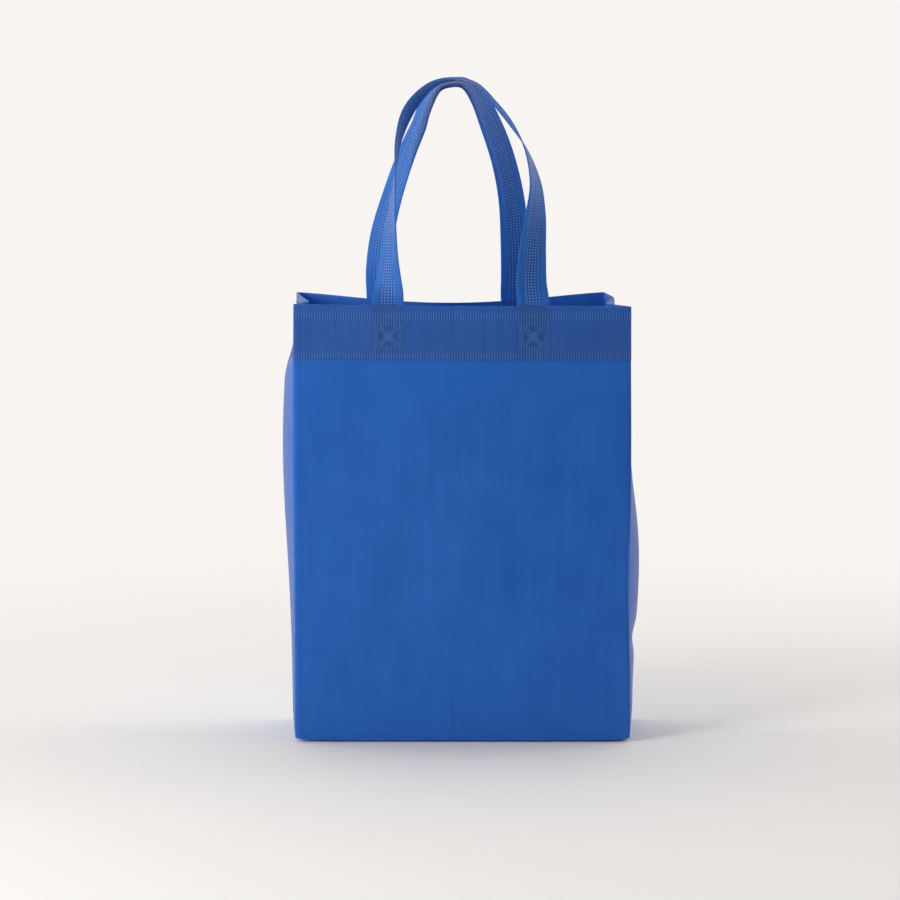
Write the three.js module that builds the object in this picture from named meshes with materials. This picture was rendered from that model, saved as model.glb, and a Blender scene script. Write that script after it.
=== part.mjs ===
// A non-woven carrier bag, standing open and empty. Millimetres, +Z up, front panel towards -Y.
// One sheet is folded round a boxed bottom into front, back and two side gussets, its top edge is folded
// inwards as a hem, and two loop handles are welded flat on the inside of the hem.
import * as THREE from "three";

// The cut of the bag
const PANEL_WIDTH = 320;
const GUSSET_DEPTH = 110;
const BAG_HEIGHT = 420;
const SHEET = 0.6;
const HEM_DEPTH = 52;
const SEAM_WIDTH = 6;
const BASE_FOLD_RADIUS = 4;

// The cut of the handles
const STRAP_WIDTH = 30;
const STRAP_THICKNESS = 1.2;
const STRAP_TAIL = 45;
const STRAP_STAND = 6;
const HANDLE_SPACING = 137;
const HANDLE_SHIFT = -2;
const HANDLE_RISE = 212;
const WELD_CLEARANCE = 0.3;

// How the soft sheet stands: how far each place moves from a plain box
const FRONT_BELLY = 6;
const FRONT_RIM_BOW = 7;
const FRONT_RIM_DIP = 2;
const FRONT_LEFT_RISE = 2.5;
const RIGHT_EDGE_DENT = 2.5;
const REAR_RIM_BOW = 48;
const REAR_RIM_DIP = 4;
const REAR_LEAN = 3;
const REAR_RIGHT_DRAW = 23;
const LEFT_GUSSET_BULGE = 10.5;
const RIGHT_GUSSET_BULGE = 10.5;
const RIGHT_GUSSET_PINCH = 3;
const LOW_GUSSET_BULGE = 3;
const LEFT_MOUTH_FOLD = 17;
const RIGHT_MOUTH_FOLD = 15;
const GUSSET_DIP = 1.7;
const CORNER_LIFT = 2;
const BASE_FLAT_INSET = 28;

// Where those shapes sit: up the bag as shares of its height, along a gusset as shares of its depth
const LEFT_BULGE_PLACE = { centre: 0.68, spread: 0.34 };
const RIGHT_BULGE_PLACE = { centre: 0.41, spread: 0.21 };
const RIGHT_PINCH_PLACE = { centre: 0.25, spread: 0.03 };
const RIGHT_DENT_PLACE = { centre: 0.36, spread: 0.14 };
const BULGE_START = 0.06;
const LEFT_FOLD_START = 0.82;
const RIGHT_FOLD_START = 0.7;
const RIGHT_FOLD_LINE = 0.33;
const RIGHT_FOLD_END = 0.64;

// Where the two loops lean to at the top, and how far the back one stays below the front one per width
const FRONT_APEX_Y = -24;
const BACK_APEX_Y = -6;
const APEX_STEP_PER_WIDTH = 0.11;

// The loops as they stand, from the left end to the right. Each row: across in half spacings, up in rises,
// lean from its own panel (0) to its place at the top (1), and turn of the strap in degrees: -90 lies flat
// against the panel, 0 is edge on to the front, above 0 shows the strap's inner face.
const FRONT_LOOP = [
  [-0.99, 0.1, 0.09, -56],
  [-0.985, 0.22, 0.2, -34],
  [-0.955, 0.4, 0.39, -15],
  [-0.9, 0.58, 0.57, 0],
  [-0.85, 0.74, 0.73, 11],
  [-0.69, 0.875, 0.87, 29],
  [-0.37, 0.978, 0.97, 14],
  [-0.07, 1, 1, 10],
  [0.2, 0.98, 0.975, 9],
  [0.475, 0.893, 0.883, 11],
  [0.705, 0.8, 0.79, 11],
  [0.905, 0.69, 0.68, -1],
  [1.035, 0.54, 0.53, -20],
  [1.035, 0.4, 0.4, -42],
  [0.995, 0.24, 0.24, -58],
  [0.98, 0.1, 0.1, -74],
];
const BACK_LOOP = [
  [-1.015, 0.12, 0.13, -66],
  [-0.967, 0.3, 0.31, -47],
  [-0.82, 0.48, 0.49, -37],
  [-0.6, 0.68, 0.69, -32],
  [-0.433, 0.8, 0.8, -27],
  [-0.342, 0.88, 0.88, -23],
  [-0.15, 0.98, 0.97, -14],
  [0.04, 1, 1, -11],
  [0.235, 0.996, 0.99, -13],
  [0.44, 0.93, 0.93, -30],
  [0.638, 0.8, 0.8, -44],
  [0.817, 0.64, 0.64, -48],
  [0.938, 0.46, 0.46, -54],
  [0.99, 0.26, 0.26, -66],
  [1.005, 0.11, 0.12, -71],
];

// Fineness of the surfaces
const PANEL_STEPS = 20;
const GUSSET_STEPS = 12;
const WALL_ROWS = 11;
const HEM_ROWS = 4;
const FOLD_ROWS = 4;
const STEPS_PER_LOOP_ROW = 5;

const HALF_WIDTH = PANEL_WIDTH / 2;
const HALF_DEPTH = GUSSET_DEPTH / 2;

const bell = (at, { centre, spread }) => Math.exp(-(((at - centre) / spread) ** 2));
const smoothStep = (from, to, at) => THREE.MathUtils.smoothstep(at, from, to);
const arch = (share) => Math.sin(Math.PI * share);
const deepArch = (share) => Math.max(arch(share), 0) ** 1.3;

// The four upright edges at a share t of the height, as plan points
function uprightEdges(t) {
  const dent = RIGHT_EDGE_DENT * bell(t, RIGHT_DENT_PLACE);
  const back = HALF_DEPTH - REAR_LEAN * t * t;
  return {
    frontLeft: [-HALF_WIDTH, -HALF_DEPTH],
    frontRight: [HALF_WIDTH - dent, -HALF_DEPTH],
    backRight: [HALF_WIDTH - REAR_RIGHT_DRAW * t * t, back],
    backLeft: [-HALF_WIDTH, back],
  };
}

// How far the middle of each gusset swells out at a share t of the height
function lowSwell(t) {
  return LOW_GUSSET_BULGE * (1 - t) * smoothStep(0, BULGE_START, t);
}

function leftSwell(t) {
  return LEFT_GUSSET_BULGE * bell(t, LEFT_BULGE_PLACE) * smoothStep(0, BULGE_START, t) + lowSwell(t);
}

function rightSwell(t) {
  const swell = RIGHT_GUSSET_BULGE * bell(t, RIGHT_BULGE_PLACE) * smoothStep(0, BULGE_START, t);
  return swell + lowSwell(t) - RIGHT_GUSSET_PINCH * bell(t, RIGHT_PINCH_PLACE);
}

// The four sides, counter-clockwise from the front left edge. Each gives, at a share s along the side and t
// up it, the plan point of the sheet's outer face and how far the rim dips there.
const SIDES = {
  front(s, t) {
    const { frontLeft, frontRight } = uprightEdges(t);
    const swell = arch(s) * (FRONT_BELLY * arch(t) + FRONT_RIM_BOW * t ** 3);
    const x = THREE.MathUtils.lerp(frontLeft[0], frontRight[0], s);
    const dip = FRONT_RIM_DIP * arch(s) - FRONT_LEFT_RISE * (1 - s) ** 4;
    return { x, y: frontLeft[1] - swell, dip };
  },
  right(s, t) {
    const { frontRight, backRight } = uprightEdges(t);
    const rising = s / RIGHT_FOLD_LINE;
    const falling = (RIGHT_FOLD_END - s) / (RIGHT_FOLD_END - RIGHT_FOLD_LINE);
    const fold = Math.max(0, Math.min(rising, falling));
    const mouth = RIGHT_MOUTH_FOLD * fold * smoothStep(RIGHT_FOLD_START, 1, t);
    const x = THREE.MathUtils.lerp(frontRight[0], backRight[0], s) + rightSwell(t) * arch(s) - mouth;
    const y = THREE.MathUtils.lerp(frontRight[1], backRight[1], s);
    return { x, y, dip: GUSSET_DIP * fold };
  },
  back(s, t) {
    const { backRight, backLeft } = uprightEdges(t);
    const x = THREE.MathUtils.lerp(backRight[0], backLeft[0], s);
    const y = backRight[1] - REAR_RIM_BOW * t * t * deepArch(s);
    return { x, y, dip: REAR_RIM_DIP * deepArch(s) };
  },
  left(s, t) {
    const { backLeft, frontLeft } = uprightEdges(t);
    const fold = 1 - Math.abs(2 * s - 1);
    const mouth = LEFT_MOUTH_FOLD * fold * smoothStep(LEFT_FOLD_START, 1, t);
    const x = THREE.MathUtils.lerp(backLeft[0], frontLeft[0], s) - leftSwell(t) * arch(s) + mouth;
    const y = THREE.MathUtils.lerp(backLeft[1], frontLeft[1], s);
    return { x, y, dip: GUSSET_DIP * fold - FRONT_LEFT_RISE * s ** 4 };
  },
};

// Shares along the four sides where the loft has a point, with the lapped side seam marked on the gussets
function stations() {
  const list = [];
  const seamShare = SEAM_WIDTH / 2 / GUSSET_DEPTH;
  const lapShare = SHEET / GUSSET_DEPTH;
  const panelShares = Array.from({ length: PANEL_STEPS }, (_, i) => i / PANEL_STEPS);
  const gussetShares = Array.from({ length: GUSSET_STEPS }, (_, i) => i / GUSSET_STEPS)
    .filter((share) => Math.abs(share - 0.5) > seamShare + 2 * lapShare || share === 0.5);
  for (const side of ["front", "right", "back", "left"]) {
    const gusset = side === "right" || side === "left";
    const shares = gusset ? gussetShares : panelShares;
    const along = shares.map((share) => ({ side, share, lapped: gusset && share === 0.5 }));
    if (gusset) {
      for (const sign of [-1, 1]) {
        along.push({ side, share: 0.5 + sign * seamShare, lapped: true });
        along.push({ side, share: 0.5 + sign * (seamShare + lapShare), lapped: false });
      }
    }
    along.sort((a, b) => a.share - b.share);
    list.push(...along);
  }
  return list;
}

// One closed row of the loft: the plan outline at height share t, moved inwards by an inset for each station
function planRow(points, t, insetAt) {
  const plan = points.map(({ side, share }) => SIDES[side](share, t));
  return plan.map((here, i) => {
    const before = plan[(i + plan.length - 1) % plan.length];
    const after = plan[(i + 1) % plan.length];
    const inA = inwardNormal(before, here);
    const inB = inwardNormal(here, after);
    const mitre = insetAt(points[i]) / (1 + inA.dot(inB));
    return { x: here.x + (inA.x + inB.x) * mitre, y: here.y + (inA.y + inB.y) * mitre, dip: here.dip };
  });
}

function inwardNormal(from, to) {
  return new THREE.Vector2(-(to.y - from.y), to.x - from.x).normalize();
}

// The corners of the bottom stand a little off the ground, fading out up the wall
function cornerLift(point, z) {
  const nearCorner = Math.abs(point.x / HALF_WIDTH) ** 12 * Math.abs(point.y / HALF_DEPTH) ** 4;
  return CORNER_LIFT * nearCorner * Math.exp(-z / (4 * BASE_FOLD_RADIUS));
}

function bagBody() {
  const points = stations();
  const rows = [];
  const addRow = (z, insetAt) => {
    const t = Math.min(z / BAG_HEIGHT, 1);
    rows.push(planRow(points, t, insetAt).map((point) =>
      new THREE.Vector3(point.x, point.y, z - point.dip * t ** 2 + cornerLift(point, z))));
  };
  const addFlat = (z) => {
    const alongX = 1 - BASE_FLAT_INSET / HALF_WIDTH;
    const alongY = 1 - BASE_FLAT_INSET / HALF_DEPTH;
    rows.push(planRow(points, 0, () => 0).map((point) =>
      new THREE.Vector3(point.x * alongX, point.y * alongY, z)));
  };
  const hemStart = BAG_HEIGHT - HEM_DEPTH;
  const wall = (layers) => (point) => SHEET * layers * (point.lapped ? 2 : 1);
  const foldAngles = Array.from({ length: FOLD_ROWS + 1 }, (_, i) => (Math.PI / 2) * (i / FOLD_ROWS));
  const wallHeights = Array.from({ length: WALL_ROWS }, (_, i) =>
    THREE.MathUtils.lerp(BASE_FOLD_RADIUS, hemStart, (i + 1) / WALL_ROWS));
  const hemHeights = Array.from({ length: HEM_ROWS }, (_, i) =>
    THREE.MathUtils.lerp(hemStart, BAG_HEIGHT, (i + 1) / HEM_ROWS));

  // Outer face, from the flat of the base round the fold and up the wall to the rim
  addFlat(0);
  for (const angle of foldAngles) {
    addRow(BASE_FOLD_RADIUS * (1 - Math.cos(angle)), () => BASE_FOLD_RADIUS * (1 - Math.sin(angle)));
  }
  for (const z of [...wallHeights, ...hemHeights]) addRow(z, () => 0);

  // Inner face, from the rim down over the turned-in hem to the floor of the bag
  for (const z of [...hemHeights].reverse()) addRow(z, wall(2));
  addRow(hemStart + SHEET, wall(2));
  addRow(hemStart, wall(1));
  for (const z of [...wallHeights].reverse().slice(1)) addRow(z, wall(1));
  for (const angle of [...foldAngles].reverse()) {
    const inset = BASE_FOLD_RADIUS * (1 - Math.sin(angle));
    addRow(
      BASE_FOLD_RADIUS * (1 - Math.cos(angle)) + SHEET * Math.cos(angle),
      (point) => inset + wall(1)(point) * Math.sin(angle),
    );
  }
  addFlat(SHEET);
  return closedLoft(rows);
}

// A loft through closed rows of equal length, with a flat cap on its first and last row
function closedLoft(rows) {
  const count = rows[0].length;
  const positions = rows.flat().flatMap((point) => [point.x, point.y, point.z]);
  const index = [];
  for (let row = 0; row + 1 < rows.length; row += 1) {
    for (let i = 0; i < count; i += 1) {
      const a = row * count + i;
      const b = row * count + ((i + 1) % count);
      index.push(a, b, b + count, a, b + count, a + count);
    }
  }
  const capPlan = (row) => row.map((point) => new THREE.Vector2(point.x, point.y));
  const top = (rows.length - 1) * count;
  for (const [a, b, c] of THREE.ShapeUtils.triangulateShape(capPlan(rows[0]), [])) index.push(a, c, b);
  for (const [a, b, c] of THREE.ShapeUtils.triangulateShape(capPlan(rows.at(-1)), [])) {
    index.push(top + a, top + b, top + c);
  }
  const geometry = new THREE.BufferGeometry();
  geometry.setAttribute("position", new THREE.Float32BufferAttribute(positions, 3));
  geometry.setIndex(index);
  geometry.computeVertexNormals();
  return geometry;
}

// A place on the inside of a panel's hem where the middle of a strap lies, with the strap's turn there
function hemSeat(side, share, z) {
  const t = z / BAG_HEIGHT;
  const step = STRAP_WIDTH / 2 / PANEL_WIDTH;
  const here = SIDES[side](share, t);
  const inward = inwardNormal(SIDES[side](share - step, t), SIDES[side](share + step, t));
  const depth = 2 * SHEET + WELD_CLEARANCE + STRAP_THICKNESS / 2;
  const across = side === "front" ? inward.x : -inward.x;
  return {
    place: new THREE.Vector3(here.x + inward.x * depth, here.y + inward.y * depth, z - here.dip * t ** 2),
    slope: THREE.MathUtils.radToDeg(Math.asin(across)),
  };
}

// The middle line and turn of one handle: up from its left tail, round the loop and down its right tail
function handlePath(side, loop, rise, apexY) {
  const direction = side === "front" ? 1 : -1;
  const tail = (end) => {
    const share = 0.5 + (direction * (HANDLE_SHIFT + (end * HANDLE_SPACING) / 2)) / PANEL_WIDTH;
    return [-STRAP_TAIL, -STRAP_TAIL / 2, 0, STRAP_STAND].map((aboveRim) => {
      const { place, slope } = hemSeat(side, share, BAG_HEIGHT + aboveRim);
      return { place, turn: -90 - end * slope };
    });
  };
  const left = tail(-1);
  const right = tail(1).reverse();
  const leftRim = left.at(-1).place;
  const rightRim = right[0].place;
  const middle = (leftRim.x + rightRim.x) / 2;
  const half = (rightRim.x - leftRim.x) / 2;
  const free = loop.map(([across, up, lean, turn]) => {
    const rimY = THREE.MathUtils.lerp(leftRim.y, rightRim.y, (across + 1) / 2);
    const y = THREE.MathUtils.lerp(rimY, apexY, lean);
    return { place: new THREE.Vector3(middle + across * half, y, BAG_HEIGHT + up * rise), turn };
  });
  return [...left, ...free, ...right];
}

// A value that follows a list smoothly without swinging past it: a uniform cubic B-spline
function easedValue(values, at) {
  const row = Math.min(Math.floor(at * (values.length - 1)), values.length - 2);
  const f = at * (values.length - 1) - row;
  const weights = [(1 - f) ** 3, 3 * f ** 3 - 6 * f ** 2 + 4, 3 * (f + f ** 2 - f ** 3) + 1, f ** 3];
  const near = (i) => values[THREE.MathUtils.clamp(row - 1 + i, 0, values.length - 1)];
  return weights.reduce((sum, weight, i) => sum + weight * near(i), 0) / 6;
}

// A flat strap swept along its path: each cross-section is a thin rectangle turned about the path
function strap(path) {
  const line = new THREE.CatmullRomCurve3(path.map((row) => row.place), false, "centripetal");
  const turns = path.map((row) => row.turn);
  const steps = (path.length - 1) * STEPS_PER_LOOP_ROW;
  const rows = [];
  for (let i = 0; i <= steps; i += 1) {
    const at = i / steps;
    const centre = line.getPoint(at);
    const along = line.getTangent(at);
    const turn = THREE.MathUtils.degToRad(easedValue(turns, at));
    const front = new THREE.Vector3(0, -1, 0).addScaledVector(along, along.y).normalize();
    const outward = new THREE.Vector3().crossVectors(front, along);
    const edge = front.clone().multiplyScalar(Math.cos(turn)).addScaledVector(outward, Math.sin(turn));
    const face = new THREE.Vector3().crossVectors(along, edge);
    const corner = (a, b) => centre.clone()
      .addScaledVector(edge, (a * STRAP_WIDTH) / 2)
      .addScaledVector(face, (b * STRAP_THICKNESS) / 2);
    rows.push([corner(1, 1), corner(-1, 1), corner(-1, -1), corner(1, -1)]);
  }
  return sweptBar(rows);
}

// A bar through four-cornered rows, closed by a flat end on its first and last row
function sweptBar(rows) {
  const index = [];
  for (let row = 0; row + 1 < rows.length; row += 1) {
    for (let i = 0; i < 4; i += 1) {
      const a = row * 4 + i;
      const b = row * 4 + ((i + 1) % 4);
      index.push(a, b, b + 4, a, b + 4, a + 4);
    }
  }
  const end = (rows.length - 1) * 4;
  index.push(0, 2, 1, 0, 3, 2);
  index.push(end, end + 1, end + 2, end, end + 2, end + 3);
  const geometry = new THREE.BufferGeometry();
  const positions = rows.flat().flatMap((point) => [point.x, point.y, point.z]);
  geometry.setAttribute("position", new THREE.Float32BufferAttribute(positions, 3));
  geometry.setIndex(index);
  geometry.computeVertexNormals();
  return geometry;
}

const bag = new THREE.Group();

function addPiece(name, geometry, colour) {
  const material = new THREE.MeshStandardMaterial({ color: colour, roughness: 0.85, metalness: 0 });
  const mesh = new THREE.Mesh(geometry, material);
  mesh.name = name;
  bag.add(mesh);
}

const backRise = HANDLE_RISE - APEX_STEP_PER_WIDTH * STRAP_WIDTH - STRAP_THICKNESS - WELD_CLEARANCE;
addPiece("bag_body", bagBody(), "#2a5fb4");
addPiece("front_handle", strap(handlePath("front", FRONT_LOOP, HANDLE_RISE, FRONT_APEX_Y)), "#4a76c4");
addPiece("back_handle", strap(handlePath("back", BACK_LOOP, backRise, BACK_APEX_Y)), "#3f6cbc");

export default bag;
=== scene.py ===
from math import pi, radians

import bpy
import numpy as np
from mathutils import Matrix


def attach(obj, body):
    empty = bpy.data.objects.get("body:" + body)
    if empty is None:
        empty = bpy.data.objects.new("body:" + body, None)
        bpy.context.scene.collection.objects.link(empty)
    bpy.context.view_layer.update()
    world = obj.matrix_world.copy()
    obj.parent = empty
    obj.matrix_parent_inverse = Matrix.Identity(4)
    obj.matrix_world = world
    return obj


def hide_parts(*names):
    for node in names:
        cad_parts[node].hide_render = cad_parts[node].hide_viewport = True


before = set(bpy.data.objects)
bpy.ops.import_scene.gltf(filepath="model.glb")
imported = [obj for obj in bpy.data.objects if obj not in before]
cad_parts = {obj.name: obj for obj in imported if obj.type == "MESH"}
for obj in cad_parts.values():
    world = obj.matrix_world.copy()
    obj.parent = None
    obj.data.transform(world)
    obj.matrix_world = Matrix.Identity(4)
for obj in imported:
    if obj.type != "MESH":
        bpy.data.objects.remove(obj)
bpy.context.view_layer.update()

# The bag's body is one blue spun-bonded polypropylene sheet, cut as front, boxed bottom, back and side
# gussets, which stands open by its own stiffness. Its top edge is folded inwards as a hem, held down by two
# rows of pressed weld bars, and a crossed box of bars welds each end of a handle to the hem from inside.
PANEL_WIDTH = 0.320
GUSSET_DEPTH = 0.110
BAG_HEIGHT = 0.420
SHEET = 0.0006
HEM_DEPTH = 0.052
BASE_TUCK = np.array([0.0110, 0.0078, 0.0045, 0.0018, 0.0006, 0.0002, 0.0])
BASE_RISE = np.array([0.0, 0.0005, 0.0010, 0.0014, 0.0017, 0.0020, 0.0028])
HALF_WIDTH = PANEL_WIDTH / 2
HALF_DEPTH = GUSSET_DEPTH / 2
GIRTH = 2 * (PANEL_WIDTH + GUSSET_DEPTH)
FOLD_EASE = 0.0018

# How the sheet stands: how far each place moves from a plain box
FRONT_BELLY = 0.006
FRONT_RIM_BOW = 0.007
FRONT_RIM_DIP = -0.001
FRONT_LEFT_RISE = 0.0025
RIGHT_EDGE_DENT = 0.0025
REAR_RIM_BOW = 0.048
REAR_RIM_DIP = 0.004
REAR_LEAN = 0.003
REAR_RIGHT_DRAW = 0.023
GUSSET_BULGE = 0.0105
RIGHT_GUSSET_PINCH = 0.003
LOW_GUSSET_BULGE = 0.003
LEFT_MOUTH_FOLD = 0.017
RIGHT_MOUTH_FOLD = 0.015
GUSSET_DIP = 0.0017
CORNER_LIFT = 0.003
CORNER_FADE = 0.016
RIGHT_FOLD_LINE, RIGHT_FOLD_END = 0.33, 0.64


def bell(at, centre, spread):
    """e to the minus square of the distance from the centre, counted in spreads."""
    return np.exp(-(((at - centre) / spread) ** 2))


def smooth_step(start, end, at):
    """3 u^2 - 2 u^3 of the share u, from 0 to 1, of the way from start to end."""
    u = np.clip((at - start) / (end - start), 0.0, 1.0)
    return u * u * (3.0 - 2.0 * u)


def arch(share):
    """Half a sine wave over the shares 0 to 1."""
    return np.sin(pi * share)


def along(start, end, share):
    """The straight line from start to end."""
    return start + (end - start) * share


def sharp_outline(girth, t):
    """Plan x and y and the dip of the rim, girth metres round the cut from the front left edge and at the
    share t of the height. Each side is the straight line between its upright edges, plus half sine waves for
    what swells or bows, and each gusset has a straight-sided fold that opens inwards towards the mouth."""
    girth = np.mod(girth, GIRTH)
    starts = np.array([0.0, PANEL_WIDTH, PANEL_WIDTH + GUSSET_DEPTH, GIRTH - GUSSET_DEPTH])
    front, right, back, left = (
        (girth - start) / length
        for start, length in zip(starts, [PANEL_WIDTH, GUSSET_DEPTH, PANEL_WIDTH, GUSSET_DEPTH])
    )
    rising = smooth_step(0.0, 0.06, t)
    low_swell = LOW_GUSSET_BULGE * (1.0 - t) * rising
    right_edge = HALF_WIDTH - RIGHT_EDGE_DENT * bell(t, 0.36, 0.14)
    rear_right_edge = HALF_WIDTH - REAR_RIGHT_DRAW * t**2
    rear = HALF_DEPTH - REAR_LEAN * t**2

    front_swell = arch(front) * (FRONT_BELLY * arch(t) + FRONT_RIM_BOW * t**3)
    front_side = [
        along(-HALF_WIDTH, right_edge, front),
        -HALF_DEPTH - front_swell,
        FRONT_RIM_DIP * arch(front) - FRONT_LEFT_RISE * (1.0 - front) ** 4 + 0.0 * t,
    ]
    falling = (RIGHT_FOLD_END - right) / (RIGHT_FOLD_END - RIGHT_FOLD_LINE)
    right_fold = np.maximum(0.0, np.minimum(right / RIGHT_FOLD_LINE, falling))
    right_swell = GUSSET_BULGE * bell(t, 0.41, 0.21) * rising + low_swell
    right_swell = right_swell - RIGHT_GUSSET_PINCH * bell(t, 0.224, 0.03)
    right_side = [
        along(right_edge, rear_right_edge, right)
        + right_swell * arch(right)
        - RIGHT_MOUTH_FOLD * right_fold * smooth_step(0.7, 1.0, t),
        along(-HALF_DEPTH, rear, right),
        GUSSET_DIP * right_fold + 0.0 * t,
    ]
    rear_arch = np.maximum(arch(back), 0.0) ** 1.3
    back_side = [
        along(rear_right_edge, -HALF_WIDTH, back),
        rear - REAR_RIM_BOW * t**2 * rear_arch,
        REAR_RIM_DIP * rear_arch + 0.0 * t,
    ]
    left_fold = 1.0 - np.abs(2.0 * left - 1.0)
    left_swell = GUSSET_BULGE * bell(t, 0.68, 0.34) * rising + low_swell
    left_side = [
        -HALF_WIDTH - left_swell * arch(left) + LEFT_MOUTH_FOLD * left_fold * smooth_step(0.82, 1.0, t),
        along(rear, -HALF_DEPTH, left),
        GUSSET_DIP * left_fold - FRONT_LEFT_RISE * left**4 + 0.0 * t,
    ]
    on_side = [girth < starts[1], girth < starts[2], girth < starts[3]]
    sides = zip(front_side, right_side, back_side, left_side)
    return np.stack([np.select(on_side, [f, r, b], l) for f, r, b, l in sides])


def eased_outline(girth, t):
    """The outline averaged over a short stretch of sheet on both sides, which rounds its edges and folds."""
    offsets = FOLD_EASE * np.linspace(-1.0, 1.0, 5)
    return np.mean([sharp_outline(girth + offset, t) for offset in offsets], axis=0)


# Creases left by the flat pack: girth and height of their two ends, and how deep they are
CREASES = [
    (0.3195, 0.190, 0.262, 0.181, -0.0009),
    (0.3195, 0.099, 0.255, 0.106, -0.0010),
    (0.3205, 0.190, 0.360, 0.171, -0.0006),
    (0.8595, 0.300, 0.812, 0.330, -0.0006),
    (0.8595, 0.112, 0.806, 0.104, -0.0006),
    (0.325, 0.006, 0.373, 0.058, 0.0006),
    (0.425, 0.006, 0.377, 0.058, 0.0006),
    (0.755, 0.006, 0.803, 0.058, 0.0006),
    (0.855, 0.006, 0.807, 0.058, 0.0006),
    (0.470, 0.108, 0.720, 0.112, -0.0006),
]
CREASE_WIDTH = 0.0055


def slack(girth, z):
    """How far the soft sheet stands out of its plain form: two slow slanting waves on the front and back that
    die out at the base, the hem and the upright edges, plus creases, each a bell across its line that fades
    towards its ends."""
    free = smooth_step(0.0, 0.07, z) * (1.0 - smooth_step(0.30, 0.366, z))
    panel = arch(np.clip(np.mod(girth, GIRTH / 2) / PANEL_WIDTH, 0.0, 1.0))
    waves = 0.0011 * np.sin(2 * pi * (girth / 0.215 + z / 0.62) + 0.5)
    waves = waves + 0.0006 * np.sin(2 * pi * (girth / 0.1075 - z / 0.29) + 2.1)
    out = waves * free * panel
    for g0, z0, g1, z1, depth in CREASES:
        run = np.array([g1 - g0, z1 - z0])
        share = ((girth - g0) * run[0] + (z - z0) * run[1]) / (run @ run)
        off = ((z - z0) * run[0] - (girth - g0) * run[1]) / np.linalg.norm(run)
        fade = smooth_step(-0.04, 0.08, share) * (1.0 - smooth_step(0.35, 1.0, share))
        out = out + depth * fade * bell(off, 0.0, CREASE_WIDTH)
    return out


def sheet_place(girth, z, inset=0.0, out=0.0):
    """Points of the standing sheet: the eased outline at the height z, moved out along its own normal in plan
    and in towards the middle by an inset, and lowered by the rim's dip times the square of the height."""
    girth, z, inset, out = np.broadcast_arrays(girth, z, inset, out)
    t = z / BAG_HEIGHT
    x, y, dip = eased_outline(girth, t)
    ahead = eased_outline(girth + 0.0008, t) - eased_outline(girth - 0.0008, t)
    length = np.hypot(ahead[0], ahead[1])
    out = out + slack(girth, z)
    x = (x + out * ahead[1] / length) * (1.0 - inset / HALF_WIDTH)
    y = (y - out * ahead[0] / length) * (1.0 - inset / HALF_DEPTH)
    corner = np.abs(x / HALF_WIDTH) ** 12 * np.abs(y / HALF_DEPTH) ** 4
    lift = CORNER_LIFT * corner * np.exp(-z / CORNER_FADE)
    return np.stack([x, y, z - dip * t**2 + lift], axis=-1)


BARS_ROUND = 344
BAR_PITCH = GIRTH / BARS_ROUND
BAR_HALF, BAR_EDGE = 0.00035, 0.0003
BAR_DEPTH = 0.00034
# How strongly a painted shade darkens the unpressed ground between the weld bars
PAINTED_GROOVE_SHADE = 0.34
UPPER_BARS = (0.0068, 0.0132)
LOWER_BARS = (0.0446, 0.0500)
BOX_TICK_PITCH = 0.00278
BOX_HALF = 0.0146
BOX_SIDE = 0.0050
BOX_PRESS = 0.8
CROSS_PITCH = 0.0034
CROSS_HALF_WIDTH = 0.0024
HANDLE_SPACING = 0.137
HANDLE_SHIFT = -0.002
BOX_GIRTHS = [
    PANEL_WIDTH / 2 + HANDLE_SHIFT - HANDLE_SPACING / 2,
    PANEL_WIDTH / 2 + HANDLE_SHIFT + HANDLE_SPACING / 2,
    PANEL_WIDTH * 1.5 + GUSSET_DEPTH - HANDLE_SHIFT - HANDLE_SPACING / 2,
    PANEL_WIDTH * 1.5 + GUSSET_DEPTH - HANDLE_SHIFT + HANDLE_SPACING / 2,
]


def pressed_bar(off, half=BAR_HALF, edge=BAR_EDGE):
    """1 within half of a bar's middle line, falling straight to 0 over its sloping edge."""
    return np.clip((half + edge - np.abs(off)) / edge, 0.0, 1.0)


def nearest(at, pitch):
    """Distance to the nearest of the places 0, pitch, 2 pitch and so on."""
    return at - pitch * np.round(at / pitch)


def hem_welds(girth, z):
    """Two arrays: 1 where the welding tool pressed the hem, and 1 where it stood, pressed or not. The tool
    leaves two rows of upright bars all round, and on each handle's end a square of short bars that stand
    across its sides, with a cross of slanting bars in it."""
    below = BAG_HEIGHT - z
    bars = pressed_bar(nearest(girth, BAR_PITCH))
    rows = [pressed_bar(below - sum(row) / 2, (row[1] - row[0]) / 2) for row in (UPPER_BARS, LOWER_BARS)]
    stood = np.maximum(*rows) + 0.0 * bars
    pressed = bars * stood
    middle = (UPPER_BARS[1] + LOWER_BARS[0]) / 2
    v = below - middle
    ticks = pressed_bar(nearest(v, BOX_TICK_PITCH), 0.0005, 0.0006)
    for box_girth in BOX_GIRTHS:
        u = girth - box_girth
        inside = (np.abs(u) < BOX_HALF + 0.0008) & (np.abs(v) < BOX_HALF + 0.0004)
        top_sides = bars * (np.abs(np.abs(v) - BOX_HALF + BOX_SIDE / 2) < BOX_SIDE / 2)
        flank_sides = ticks * (np.abs(np.abs(u) - BOX_HALF + BOX_SIDE / 2) < BOX_SIDE / 2)
        flank_sides = flank_sides * (np.abs(v) < BOX_HALF - BOX_SIDE)
        cross = np.zeros_like(u)
        for slant in (1.0, -1.0):
            off_line = (u - slant * v) / np.sqrt(2.0)
            on_line = (u + slant * v) / np.sqrt(2.0)
            dash = pressed_bar(nearest(on_line, CROSS_PITCH), 0.0007, 0.0006)
            cross = np.maximum(cross, dash * (np.abs(off_line) < CROSS_HALF_WIDTH))
        cross = cross * (np.abs(u) < BOX_HALF - BOX_SIDE) * (np.abs(v) < BOX_HALF - BOX_SIDE)
        box = np.maximum(cross, np.maximum(top_sides, flank_sides))
        pressed = np.maximum(pressed, BOX_PRESS * inside * box)
        stood = np.maximum(stood, inside)
    return pressed, stood


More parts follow.
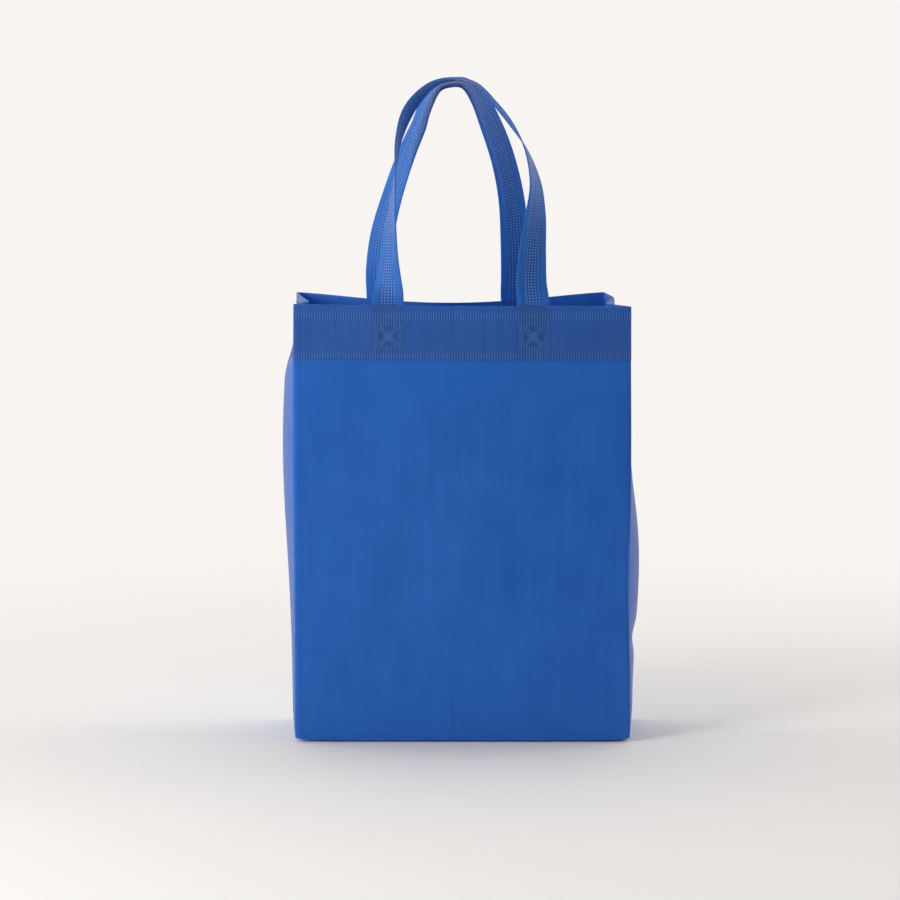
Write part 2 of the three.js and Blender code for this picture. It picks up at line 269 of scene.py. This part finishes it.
def closed_quads(first, rows, columns):
    """Quads of a grid whose rows are closed rings, by vertex number from first on."""
    row = first + columns * np.arange(rows - 1)[:, None]
    here = np.arange(columns)
    after = np.roll(here, -1)
    quads = [row + here, row + after, row + columns + after, row + columns + here]
    return np.stack(quads, axis=-1).reshape(-1, 4)


def make_piece(name, points, face_groups, cut, marks, round_length=None):
    """A mesh piece from points, groups of faces with equal corner counts, the place of each point on the flat
    cut as its UV map, and marks, which are one number per point. On a piece that goes all round, corners past
    the first column count a whole round more."""
    mesh = bpy.data.meshes.new(name)
    mesh.from_pydata(points.tolist(), [], [face for group in face_groups for face in group.tolist()])
    corners = []
    for group in face_groups:
        corner = cut[group]
        if round_length:
            behind = corner[..., 0].max(axis=1, keepdims=True) - corner[..., 0] > round_length / 2
            corner = np.stack([corner[..., 0] + round_length * behind, corner[..., 1]], axis=-1)
        corners.append(corner.reshape(-1, 2))
    uv_map = mesh.uv_layers.new(name="cut")
    uv_map.data.foreach_set("uv", np.concatenate(corners).astype(np.float32).ravel())
    for mark, values in marks.items():
        layer = mesh.attributes.new(mark, "FLOAT", "POINT")
        layer.data.foreach_set("value", np.asarray(values, dtype=np.float32))
    mesh.shade_smooth()
    piece = bpy.data.objects.new(name, mesh)
    bpy.context.scene.collection.objects.link(piece)
    return piece


def body_sheet():
    """The closed shell of the sheet as one run of closed rows: from the middle of the base outwards, round
    the bottom fold, up the outer face and over the rounded rim, then down the inner face to the floor. The
    rows of the hem have four columns to each weld bar, the others one, and wide faces join the two."""
    wide = BAR_PITCH * np.arange(BARS_ROUND) - BAR_HALF - BAR_EDGE
    bar_edges = np.array([-BAR_HALF - BAR_EDGE, -BAR_HALF, BAR_HALF, BAR_HALF + BAR_EDGE])
    fine = (BAR_PITCH * np.arange(BARS_ROUND)[:, None] + bar_edges).ravel()

    base_insets = np.linspace(0.97 * HALF_DEPTH, BASE_TUCK[0], 9)[:-1]
    hem_start = BAG_HEIGHT - HEM_DEPTH
    walls = np.linspace(BASE_RISE[-1], hem_start - 0.0004, 46)[1:]

    # Outer face below the hem
    heights = np.concatenate([0.0 * base_insets, BASE_RISE, walls])[:, None]
    insets = np.concatenate([base_insets, BASE_TUCK, 0.0 * walls])[:, None]
    lower = sheet_place(wide, heights, insets)
    lower_cut = np.stack(np.broadcast_arrays(wide, heights - insets), axis=-1)

    # Outer face of the hem and the rim, with its welds pressed in
    edge = BAR_EDGE
    upper = [0.0025, 0.0045, UPPER_BARS[0] - edge, UPPER_BARS[0], 0.0090, 0.0111]
    upper = upper + [UPPER_BARS[1], UPPER_BARS[1] + edge]
    crossed = (UPPER_BARS[1] + LOWER_BARS[0]) / 2 + BOX_TICK_PITCH / 2 * np.arange(-10, 11)
    low = [LOWER_BARS[0] - edge, LOWER_BARS[0], 0.0473, LOWER_BARS[1], LOWER_BARS[1] + edge]
    low = low + [HEM_DEPTH - 0.0003]
    hem_heights = (BAG_HEIGHT - np.concatenate([upper, crossed, low]))[::-1, None]
    press, stood = hem_welds(fine, hem_heights)
    # Below 0 the weld mark paints shade on the unpressed ground between the bars, where the tool stood
    weld_and_painted_shade = press - PAINTED_GROOVE_SHADE * stood * (1.0 - press)
    ground = 0.00012 * smooth_step(hem_start, hem_start + 0.0006, hem_heights)
    hem = sheet_place(fine, hem_heights, out=ground - BAR_DEPTH * press)
    turn = np.linspace(0.0, pi, 6)[:, None]
    rim_heights = BAG_HEIGHT - SHEET + SHEET * np.sin(turn)
    rim = sheet_place(fine, rim_heights, out=SHEET * (np.cos(turn) - 1.0))
    top = np.concatenate([hem, rim])
    top_heights = np.concatenate([hem_heights, rim_heights])
    top_cut = np.stack(np.broadcast_arrays(fine, top_heights), axis=-1)

    # Inner face, with the step at the raw edge of the hem
    hem_inside = np.linspace(BAG_HEIGHT - 0.003, hem_start + 0.0005, 8)
    walls_inside = np.concatenate([[hem_start], np.linspace(hem_start - 0.002, BASE_RISE[-1], 32)])
    upright = np.linspace(0.0, 1.0, len(BASE_RISE))[-2::-1]
    fold_rise = BASE_RISE[-2::-1] + SHEET * (1.0 - upright)
    fold_tuck = BASE_TUCK[-2::-1] + SHEET * upright
    inner_heights = np.concatenate([
        hem_inside,
        walls_inside,
        fold_rise,
        0.0 * base_insets + SHEET,
    ])[:, None]
    inner_insets = np.concatenate([
        0.0 * hem_inside,
        0.0 * walls_inside,
        fold_tuck,
        base_insets[::-1],
    ])[:, None]
    inner_out = np.concatenate([
        0.0 * hem_inside - 2 * SHEET,
        0.0 * walls_inside - SHEET,
        0.0 * fold_rise,
        0.0 * base_insets,
    ])[:, None]
    inner = sheet_place(wide, inner_heights, inner_insets, inner_out)
    inner_cut = np.stack(np.broadcast_arrays(wide, inner_heights - inner_insets), axis=-1)

    blocks = [lower, top, inner]
    firsts = np.cumsum([0] + [block.shape[0] * block.shape[1] for block in blocks])
    here = np.arange(BARS_ROUND)
    after = np.roll(here, -1)
    below = firsts[1] - BARS_ROUND
    rim_row = firsts[2] - 4 * BARS_ROUND
    fan = [4 * after, 4 * here + 3, 4 * here + 2, 4 * here + 1, 4 * here]
    joins = [
        np.stack([below + here, below + after] + [firsts[1] + corner for corner in fan], axis=-1),
        np.stack([rim_row + corner for corner in fan[::-1]] + [firsts[2] + after, firsts[2] + here], axis=-1),
    ]
    quads = [closed_quads(first, *block.shape[:2]) for first, block in zip(firsts, blocks)]
    caps = [here[None, ::-1], (firsts[3] - BARS_ROUND + here)[None, :]]
    points = np.concatenate([block.reshape(-1, 3) for block in blocks])
    cut = np.concatenate([part.reshape(-1, 2) for part in (lower_cut, top_cut, inner_cut)])
    unwelded = [np.zeros(block[..., 0].size) for block in (lower, rim, inner)]
    weld = np.concatenate([unwelded[0], weld_and_painted_shade.ravel(), *unwelded[1:]])
    plies = np.concatenate([
        np.zeros(lower[..., 0].size),
        np.ones(top[..., 0].size),
        np.repeat(inner_heights[:, 0] > hem_start + 0.0002, BARS_ROUND),
    ])
    faces = [*quads, *joins, *caps]
    return make_piece("body_sheet", points, faces, cut, {"weld": weld, "doubled": plies}, GIRTH)


def add_node(tree, kind, inputs=None, **settings):
    """A node of a kind with its settings. Inputs are values, or the sockets of other nodes to link."""
    node = tree.nodes.new(kind)
    for setting, value in settings.items():
        setattr(node, setting, value)
    for socket, value in (inputs or {}).items():
        if isinstance(value, bpy.types.NodeSocket):
            tree.links.new(value, node.inputs[socket])
        else:
            node.inputs[socket].default_value = value
    return node


def maths(tree, operation, first, second=0.0, third=0.0):
    """The outcome of one sum on two or three numbers or sockets."""
    return add_node(tree, "ShaderNodeMath", {0: first, 1: second, 2: third}, operation=operation).outputs[0]


def tinted(tree, factor, colour, mark, blend="MIX"):
    """A colour blended with another by a factor that is a number or a socket."""
    node = add_node(tree, "ShaderNodeMix", {0: factor, 7: mark}, data_type="RGBA", blend_type=blend)
    if isinstance(colour, bpy.types.NodeSocket):
        tree.links.new(colour, node.inputs[6])
    else:
        node.inputs[6].default_value = colour
    return node.outputs[2]


BOND_ACROSS, BOND_UP = 0.0026, 0.0034
# Painted shade for the unpressed ground between the weld bars
PAINTED_GROUND_SHADE = (0.2, 0.35, 0.45, 1.0)


def spun_bonded(name, deep, pale, glow, passing, weld_colour, doubled, sheen):
    """Spun-bonded sheet: fibres laid at random and bonded by small staggered points, a sine wave across times
    one along the cut. Cloudy fibre density varies the colour between deep and pale, fused weld marks are
    paler and smoother, a painted shade darkens the ground between them where the weld mark is below 0, and
    part of the light passes through. Where the mark doubled is 1, as on the hem or in the welded band of a
    strap, the colour is multiplied by the doubled colour, a painted shade, and less light passes."""
    material = bpy.data.materials.new(name)
    material.use_nodes = True
    tree = material.node_tree
    tree.nodes.clear()
    cut = add_node(tree, "ShaderNodeUVMap", uv_map="cut").outputs[0]
    weld = add_node(tree, "ShaderNodeAttribute", attribute_name="weld").outputs["Fac"]
    twice = add_node(tree, "ShaderNodeAttribute", attribute_name="doubled").outputs["Fac"]

    def stretched(across, up):
        return add_node(
            tree, "ShaderNodeVectorMath", {0: cut, 1: (across, up, 1.0)}, operation="MULTIPLY"
        ).outputs[0]

    def noise(across, up, detail):
        inputs = {"Vector": stretched(across, up), "Scale": 1.0, "Detail": detail}
        return add_node(tree, "ShaderNodeTexNoise", inputs).outputs["Fac"]

    ripple = stretched(2 * pi / BOND_ACROSS, 2 * pi / BOND_UP)
    wave = add_node(tree, "ShaderNodeSeparateXYZ", {0: ripple}).outputs
    bonds = maths(tree, "MULTIPLY", maths(tree, "SINE", wave[0]), maths(tree, "SINE", wave[1]))
    fibres = noise(1500.0, 900.0, 3.0)
    streaks = noise(420.0, 9.0, 2.0)
    clouds = noise(26.0, 22.0, 3.0)

    density = maths(tree, "MULTIPLY_ADD", clouds, 0.7, maths(tree, "MULTIPLY", fibres, 0.5))
    density = maths(tree, "MULTIPLY_ADD", streaks, 1.1, density)
    density = maths(tree, "MULTIPLY_ADD", bonds, -0.25, density)
    shade = tinted(tree, maths(tree, "SUBTRACT", density, 0.65), deep, pale)
    # The doubled colour is a painted shade that stands in for the light a double ply holds back
    shade = tinted(tree, twice, shade, doubled, "MULTIPLY")
    # Painted shade on the ground between weld bars, where the weld mark is below 0
    shade = tinted(tree, maths(tree, "MULTIPLY", weld, -1.0), shade, PAINTED_GROUND_SHADE, "MULTIPLY")
    shade = tinted(tree, maths(tree, "MULTIPLY", weld, 0.8), shade, weld_colour)
    through_share = maths(tree, "MULTIPLY_ADD", twice, -0.25 * passing, passing)

    height = maths(tree, "MULTIPLY_ADD", bonds, -0.5, maths(tree, "MULTIPLY", fibres, 0.9))
    bump_inputs = {"Strength": 0.7, "Distance": 0.0002, "Height": height}
    bump = add_node(tree, "ShaderNodeBump", bump_inputs).outputs[0]
    rough = maths(tree, "MULTIPLY_ADD", weld, -0.20, maths(tree, "MULTIPLY_ADD", fibres, 0.12, 0.54))
    surface = add_node(
        tree,
        "ShaderNodeBsdfPrincipled",
        {
            "Base Color": shade,
            "Roughness": rough,
            "Normal": bump,
            "Specular IOR Level": 0.30,
            "Sheen Weight": sheen,
            "Sheen Roughness": 0.32,
            "Sheen Tint": (1.0, 0.98, 1.0, 1.0),
        },
    )
    through = add_node(tree, "ShaderNodeBsdfTranslucent", {"Color": glow, "Normal": bump})
    both_inputs = {0: through_share, 1: surface.outputs[0], 2: through.outputs[0]}
    both = add_node(tree, "ShaderNodeMixShader", both_inputs).outputs[0]
    add_node(tree, "ShaderNodeOutputMaterial", {"Surface": both})
    return material


DEEP_BLUE = (0.012, 0.133, 0.455, 1.0)
PALE_BLUE = (0.037, 0.224, 0.645, 1.0)
GLOW_BLUE = (0.03, 0.44, 0.98, 1.0)
BAR_BLUE = (0.085, 0.265, 0.66, 1.0)
# Painted shade on the hem: darker and greyer for the backlight its two plies hold back
HEM_PAINTED_SHADE = (1.3, 0.67, 0.70, 1.0)

body = body_sheet()
sheet_finish = spun_bonded("blue_sheet", DEEP_BLUE, PALE_BLUE, GLOW_BLUE, 0.42, BAR_BLUE, HEM_PAINTED_SHADE, 1.0)
body.data.materials.append(sheet_finish)
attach(body, "root")
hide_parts("bag_body")

# The side seams close the bag where the two edges of the cut meet, down the middle of each gusset. One edge
# laps over the other by a few millimetres and a row of short pressed bars welds the two through.
SEAM_WIDTH = 0.006
SEAM_PITCH = 0.0047
SEAM_BAR = 0.0040
SEAM_PROUD = 0.00035
SEAM_LIFT = 0.00002


def side_seam(name, girth):
    """A thin closed strip along the gusset: rows up the bag, four to each weld bar, and columns round a flat
    lens, outer face first. The bars press its outer face halfway down to the sheet."""
    bars = int(round((BAG_HEIGHT - 0.009) / SEAM_PITCH))
    bar_rows = np.array([-0.0009, -0.0006, 0.0006, 0.0009])
    heights = 0.008 + SEAM_PITCH * np.arange(bars)[:, None] + bar_rows
    heights = heights.ravel()[:, None]
    across = np.array([-0.5, -0.49, -0.36, -0.33, 0.0, 0.33, 0.36, 0.49, 0.5]) * SEAM_WIDTH
    outer = np.array([0.3, 0.9, 1.0, 1.0, 1.0, 1.0, 1.0, 0.9, 0.3]) * SEAM_PROUD
    press = pressed_bar(nearest(heights - 0.008, SEAM_PITCH), 0.0006, 0.0003)
    press = press * (np.abs(across) < SEAM_BAR / 2 + 0.0001)
    front = sheet_place(girth + across, heights, out=SEAM_LIFT + outer - 0.6 * SEAM_PROUD * press)
    back = sheet_place(girth + across[::-1], heights, out=SEAM_LIFT)
    ring = np.concatenate([front, back], axis=1)
    rows, columns = ring.shape[:2]
    quads = closed_quads(0, rows, columns)
    ends = [np.arange(columns)[None, ::-1], ((rows - 1) * columns + np.arange(columns))[None, :]]
    round_strip = np.concatenate([girth + across, girth + across[::-1]])
    cut = np.stack(np.broadcast_arrays(round_strip, heights), axis=-1).reshape(-1, 2)
    weld = np.concatenate([press, np.zeros_like(press)], axis=1).ravel()
    marks = {"weld": weld, "doubled": np.ones(weld.size)}
    seam = make_piece(name, ring.reshape(-1, 3), [quads, *ends], cut, marks)
    seam.data.materials.append(sheet_finish)
    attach(seam, "root")
    return seam


right_seam = side_seam("right_side_seam", PANEL_WIDTH + GUSSET_DEPTH / 2)
left_seam = side_seam("left_side_seam", GIRTH - GUSSET_DEPTH / 2)

# The two handles are strips of the same sheet folded to a flat strap, welded down the middle by five lines of
# dots, and welded at both ends to the inside of the hem. Each stands up in a loop and twists edge on, so that
# the two loops lean together over the mouth.
STRAP_WIDTH = 0.030
STRAP_THICKNESS = 0.0012
STRAP_TAIL = 0.045
STRAP_STAND = 0.006
HANDLE_RISE = 0.212
WELD_CLEARANCE = 0.0003
APEX_STEP = 0.11 * STRAP_WIDTH + STRAP_THICKNESS + WELD_CLEARANCE
FRONT_APEX_Y = -0.024
BACK_APEX_Y = -0.006
DOT_PITCH = 0.0027
DOT_COLUMN_PITCH = 0.00307
DOT_DEPTH = 0.00022
LAP_LINE = 0.0090

# Rows of the loops from left to right: across in half spacings, up in rises, lean from its own panel (0) to
# its place at the top (1), and the strap's turn in degrees, where -90 lies flat against the panel
FRONT_LOOP = np.array([
    (-0.99, 0.10, 0.09, -56), (-0.985, 0.22, 0.20, -34), (-0.955, 0.40, 0.39, -15), (-0.90, 0.58, 0.57, 0),
    (-0.85, 0.74, 0.73, 11), (-0.69, 0.875, 0.87, 29), (-0.37, 0.978, 0.97, 14), (-0.07, 1.0, 1.0, 10),
    (0.20, 0.98, 0.975, 9), (0.475, 0.893, 0.883, 11), (0.705, 0.80, 0.79, 11), (0.905, 0.69, 0.68, -1),
    (1.035, 0.54, 0.53, -20), (1.035, 0.40, 0.40, -42), (0.995, 0.24, 0.24, -58), (0.98, 0.10, 0.10, -74),
])
BACK_LOOP = np.array([
    (-1.015, 0.12, 0.13, -66), (-0.967, 0.30, 0.31, -47), (-0.82, 0.48, 0.49, -37), (-0.6, 0.68, 0.69, -32),
    (-0.433, 0.80, 0.80, -27), (-0.342, 0.88, 0.88, -23), (-0.15, 0.98, 0.97, -14), (0.04, 1.0, 1.0, -11),
    (0.235, 0.996, 0.99, -13), (0.44, 0.93, 0.93, -30), (0.638, 0.80, 0.80, -44), (0.817, 0.64, 0.64, -48),
    (0.938, 0.46, 0.46, -54), (0.99, 0.26, 0.26, -66), (1.005, 0.11, 0.12, -71),
])


def handle_path(girths, loop, rise, apex_y, facing):
    """Places and turns along one handle's middle line: up its left tail on the inside of the hem, round the
    loop, and down its right tail. A tail lies one hem and half a strap inside the sheet's outer face, square
    to the line between the sheet's places half a strap to each side."""
    above = np.array([-STRAP_TAIL, -STRAP_TAIL / 2, 0.0, STRAP_STAND])
    ends = []
    for end, girth in zip((-1, 1), girths):
        depth = 2 * SHEET + WELD_CLEARANCE + STRAP_THICKNESS / 2
        here = sheet_place(girth, BAG_HEIGHT + above)
        chord = sheet_place(girth + STRAP_WIDTH / 2, BAG_HEIGHT + above)
        chord = chord - sheet_place(girth - STRAP_WIDTH / 2, BAG_HEIGHT + above)
        length = np.hypot(chord[:, 0], chord[:, 1])
        inward = np.stack([-chord[:, 1] / length, chord[:, 0] / length, 0.0 * length], axis=-1)
        slope = np.degrees(np.arcsin(facing * inward[:, 0]))
        ends.append((here + depth * inward, -90.0 - end * slope))
    (left, left_turn), (right, right_turn) = ends
    middle, half = (left[-1] + right[-1]) / 2, (right[-1] - left[-1]) / 2
    across, up, lean, turn = loop.T
    free = np.stack([
        middle[0] + across * half[0],
        along(middle[1] + across * half[1], apex_y, lean),
        BAG_HEIGHT + up * rise,
    ], axis=-1)
    places = np.concatenate([left, free, right[::-1]])
    return places, np.concatenate([left_turn, turn, right_turn[::-1]])


def spline_places(places, at):
    """A centripetal Catmull-Rom curve through the places: between two of them a cubic with the slopes of the
    neighbouring chords, each counted over the square root of its length."""
    ends = [2 * places[:1] - places[1:2], places, 2 * places[-1:] - places[-2:-1]]
    points = np.concatenate(ends)
    row = np.minimum(at.astype(int), len(places) - 2)
    f = (at - row)[:, None]
    p0, p1, p2, p3 = (points[row + i] for i in range(4))
    d0, d1, d2 = (
        np.sqrt(np.linalg.norm(b - a, axis=1))[:, None] for a, b in ((p0, p1), (p1, p2), (p2, p3))
    )
    m1 = ((p1 - p0) / d0 - (p2 - p0) / (d0 + d1) + (p2 - p1) / d1) * d1
    m2 = ((p2 - p1) / d1 - (p3 - p1) / (d1 + d2) + (p3 - p2) / d2) * d1
    return p1 + m1 * f + (3 * (p2 - p1) - 2 * m1 - m2) * f**2 + (2 * (p1 - p2) + m1 + m2) * f**3


def eased_turns(turns, at):
    """A uniform cubic B-spline through the list, which follows it without swinging past."""
    row = np.minimum(at.astype(int), len(turns) - 2)
    f = at - row
    weights = [(1 - f) ** 3, 3 * f**3 - 6 * f**2 + 4, 3 * (f + f**2 - f**3) + 1, f**3]
    return sum(w * turns[np.clip(row - 1 + i, 0, len(turns) - 1)] for i, w in enumerate(weights)) / 6


def strap(name, node, places, turns):
    """A flat folded strap carried along its path. Rows stand four to each weld dot at equal steps of length.
    The profile runs over the outer face and back over the inner one: two rounded folded edges, a raw edge
    that laps over as a small step, and five columns of dots pressed into a thinner middle band."""
    dense = np.linspace(0.0, len(places) - 1.0, 6001)
    line = spline_places(places, dense)
    lengths = np.concatenate([[0.0], np.cumsum(np.linalg.norm(np.diff(line, axis=0), axis=1))])
    dots = int(round(lengths[-1] / DOT_PITCH))
    pitch = lengths[-1] / dots
    dot_rows = np.array([-BAR_HALF - BAR_EDGE, -BAR_HALF, BAR_HALF, BAR_HALF + BAR_EDGE])
    run = (pitch * (np.arange(dots)[:, None] + 0.5) + dot_rows).ravel()
    run = np.concatenate([[0.0], run, lengths[-1:]])
    at = np.interp(run, lengths, dense)
    centre = spline_places(places, at)
    tangent = spline_places(places, np.clip(at + 1e-4, 0, dense[-1]))
    tangent = tangent - spline_places(places, np.clip(at - 1e-4, 0, dense[-1]))
    tangent = tangent / np.linalg.norm(tangent, axis=1, keepdims=True)
    turn = np.radians(eased_turns(turns, at))[:, None]
    front = np.array([0.0, -1.0, 0.0]) + tangent * tangent[:, 1:2]
    front = front / np.linalg.norm(front, axis=1, keepdims=True)
    edge = front * np.cos(turn) + np.cross(front, tangent) * np.sin(turn)
    face = np.cross(tangent, edge)

    half = STRAP_WIDTH / 2
    dot_columns = (DOT_COLUMN_PITCH * np.arange(-2, 3)[:, None] + dot_rows).ravel()
    rim = np.array([half, half - 0.0001, half - 0.0003, half - 0.0006, 0.0132, 0.0112])
    lap = np.array([LAP_LINE + 0.00015, LAP_LINE, 0.0079])
    across = np.concatenate([rim, lap, dot_columns[::-1], -lap[::-1], -rim[::-1]])
    beyond = np.clip((np.abs(across) - half + 0.0006) / 0.0006, 0.0, 1.0)
    thick = STRAP_THICKNESS / 2 * np.sqrt(1.0 - beyond**2)
    band = smooth_step(0.0088, 0.0074, np.abs(across))
    lapped = np.where(across > LAP_LINE + 0.0001, 0.0, 0.00014)
    on_dot = pressed_bar(nearest(across, DOT_COLUMN_PITCH)) * (np.abs(across) < 2.5 * DOT_COLUMN_PITCH)
    press = pressed_bar(nearest(run - pitch / 2, pitch))[:, None] * on_dot
    outer = thick - 0.00008 * band - DOT_DEPTH * press
    inner = thick - lapped * (beyond < 0.5) - 0.00008 * band - 0.6 * DOT_DEPTH * press
    inner, back_across, back_press = inner[:, -2:0:-1], across[-2:0:-1], press[:, -2:0:-1]
    rise = np.concatenate([outer + 0.0 * press, -inner], axis=1)[..., None]
    round_across = np.concatenate([across, back_across])
    points = centre[:, None] + edge[:, None] * round_across[:, None] + face[:, None] * rise
    rows, columns = points.shape[:2]
    quads = closed_quads(0, rows, columns)
    ends = [np.arange(columns)[None, ::-1], ((rows - 1) * columns + np.arange(columns))[None, :]]
    cut = np.stack(np.broadcast_arrays(round_across, run[:, None]), axis=-1).reshape(-1, 2)
    weld = np.concatenate([press, back_press], axis=1).ravel()
    marks = {"weld": weld, "doubled": np.tile(np.concatenate([band, band[-2:0:-1]]), rows)}
    piece = make_piece(name, points.reshape(-1, 3), [quads, *ends], cut, marks)
    piece.data.materials.append(strap_finish)
    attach(piece, "root")
    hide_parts(node)


DOT_BLUE = (0.30, 0.50, 0.90, 1.0)
STRAP_DEEP = (0.007, 0.108, 0.42, 1.0)
STRAP_PALE = (0.034, 0.195, 0.59, 1.0)
# Painted shade on the strap's middle band, which darkens the ground round the weld dots
BAND_PAINTED_SHADE = (0.75, 0.74, 0.80, 1.0)
strap_finish = spun_bonded("blue_strap", STRAP_DEEP, STRAP_PALE, GLOW_BLUE, 0.25, DOT_BLUE, BAND_PAINTED_SHADE, 0.5)
strap(
    "front_strap", "front_handle", *handle_path(BOX_GIRTHS[:2], FRONT_LOOP, HANDLE_RISE, FRONT_APEX_Y, 1)
)
strap(
    "back_strap",
    "back_handle",
    *handle_path(BOX_GIRTHS[:1:-1], BACK_LOOP, HANDLE_RISE - APEX_STEP, BACK_APEX_Y, -1),
)

# The ground is a round of plain pale paper, which keeps the bag's shadow and fades out into the pale room.
FLOOR_RADIUS = 3.0
FADE_CENTRE = (0.0, -0.5, 0.0)
FADE_START, FADE_END = 0.45, 1.6
FLOOR_PAPER = (0.800, 0.777, 0.757, 1.0)


def paper_floor():
    """Rings round the middle with growing radius, closed by a small many-sided face."""
    radius = np.linspace(0.05, 1.0, 24)[:, None] ** 1.5 * FLOOR_RADIUS
    turn = np.linspace(0.0, 2 * pi, 96, endpoint=False)
    rings = np.stack(np.broadcast_arrays(radius * np.cos(turn), radius * np.sin(turn), 0.0), axis=-1)
    middle = np.arange(turn.size)[None, :]
    faces = [closed_quads(0, *rings.shape[:2])[:, ::-1], middle]
    return make_piece("paper_floor", rings.reshape(-1, 3), faces, rings[..., :2].reshape(-1, 2), {})


floor = paper_floor()
paper = bpy.data.materials.new("pale_paper")
paper.use_nodes = True
tree = paper.node_tree
paper_finish = tree.nodes["Principled BSDF"]
paper_finish.inputs["Base Color"].default_value = FLOOR_PAPER
paper_finish.inputs["Roughness"].default_value = 0.9
paper_finish.inputs["Specular IOR Level"].default_value = 0.1
place = add_node(tree, "ShaderNodeTexCoord").outputs["Object"]
reach_inputs = {0: place, 1: FADE_CENTRE}
reach = add_node(tree, "ShaderNodeVectorMath", reach_inputs, operation="DISTANCE").outputs["Value"]
fade_inputs = {0: reach, 1: FADE_START, 2: FADE_END}
fade = add_node(tree, "ShaderNodeMapRange", fade_inputs, interpolation_type="SMOOTHSTEP").outputs[0]
clear = add_node(tree, "ShaderNodeBsdfTransparent").outputs[0]
faded = add_node(tree, "ShaderNodeMixShader", {0: fade, 1: paper_finish.outputs[0], 2: clear}).outputs[0]
tree.links.new(faded, tree.nodes["Material Output"].inputs["Surface"])
floor.data.materials.append(paper)

# The light is a wide soft window on each side and a soft lamp at the front left, in a room that is pale
# behind the bag and dim in front of it. The camera sees the room as one plain pale colour.
ROOM_COLOUR = (0.935, 0.905, 0.888, 1.0)
ROOM_LIGHT = (1.0, 0.985, 0.97, 1.0)
ROOM_FRONT, ROOM_BACK = 0.18, 1.14


def soft_light(name, place, aim, size, power):
    """A square lamp at a place, facing an aim point."""
    lamp = bpy.data.lights.new(name, "AREA")
    lamp.size = size
    lamp.energy = power
    light = bpy.data.objects.new(name, lamp)
    away = np.array(place) - np.array(aim)
    light.location = place
    tilt = np.arctan2(np.hypot(away[0], away[1]), away[2])
    light.rotation_euler = (tilt, 0.0, np.arctan2(away[0], -away[1]))
    bpy.context.scene.collection.objects.link(light)


soft_light("left_window", (-3.2, 0.4, 2.0), (0.0, 0.0, 0.3), 2.6, 42.0)
soft_light("right_window", (3.4, 0.5, 1.9), (0.0, 0.0, 0.3), 2.6, 56.0)
soft_light("front_left", (-2.0, -1.6, 0.9), (0.0, 0.0, 0.3), 1.0, 48.0)
world = bpy.data.worlds.new("pale_room")
world.use_nodes = True
tree = world.node_tree
facing = add_node(tree, "ShaderNodeTexCoord").outputs["Generated"]
behind = add_node(tree, "ShaderNodeSeparateXYZ", {0: facing}).outputs["Y"]
level_inputs = {0: behind, 1: -0.2, 2: 0.6, 3: ROOM_FRONT, 4: ROOM_BACK}
level = add_node(tree, "ShaderNodeMapRange", level_inputs, interpolation_type="SMOOTHSTEP").outputs[0]
lit = add_node(tree, "ShaderNodeBackground", {"Color": ROOM_LIGHT, "Strength": level}).outputs[0]
seen = add_node(tree, "ShaderNodeBackground", {"Color": ROOM_COLOUR, "Strength": 1.0}).outputs[0]
from_camera = add_node(tree, "ShaderNodeLightPath").outputs["Is Camera Ray"]
room = add_node(tree, "ShaderNodeMixShader", {0: from_camera, 1: lit, 2: seen}).outputs[0]
tree.links.new(room, tree.nodes["World Output"].inputs["Surface"])
bpy.context.scene.world = world

# The camera stands well back and a little above the bag, square to its front panel.
CAMERA_PLACE = (-0.0119, -5.013, 1.073)
CAMERA_DOWN = 9.054
camera_data = bpy.data.cameras.new("camera")
camera_data.lens = 212.0
camera_data.sensor_width = 36.0
camera = bpy.data.objects.new("camera", camera_data)
camera.location = CAMERA_PLACE
camera.rotation_euler = (radians(90.0 - CAMERA_DOWN), 0.0, 0.0)
bpy.context.scene.collection.objects.link(camera)
bpy.context.scene.camera = camera
bpy.context.scene.view_settings.view_transform = "Standard"
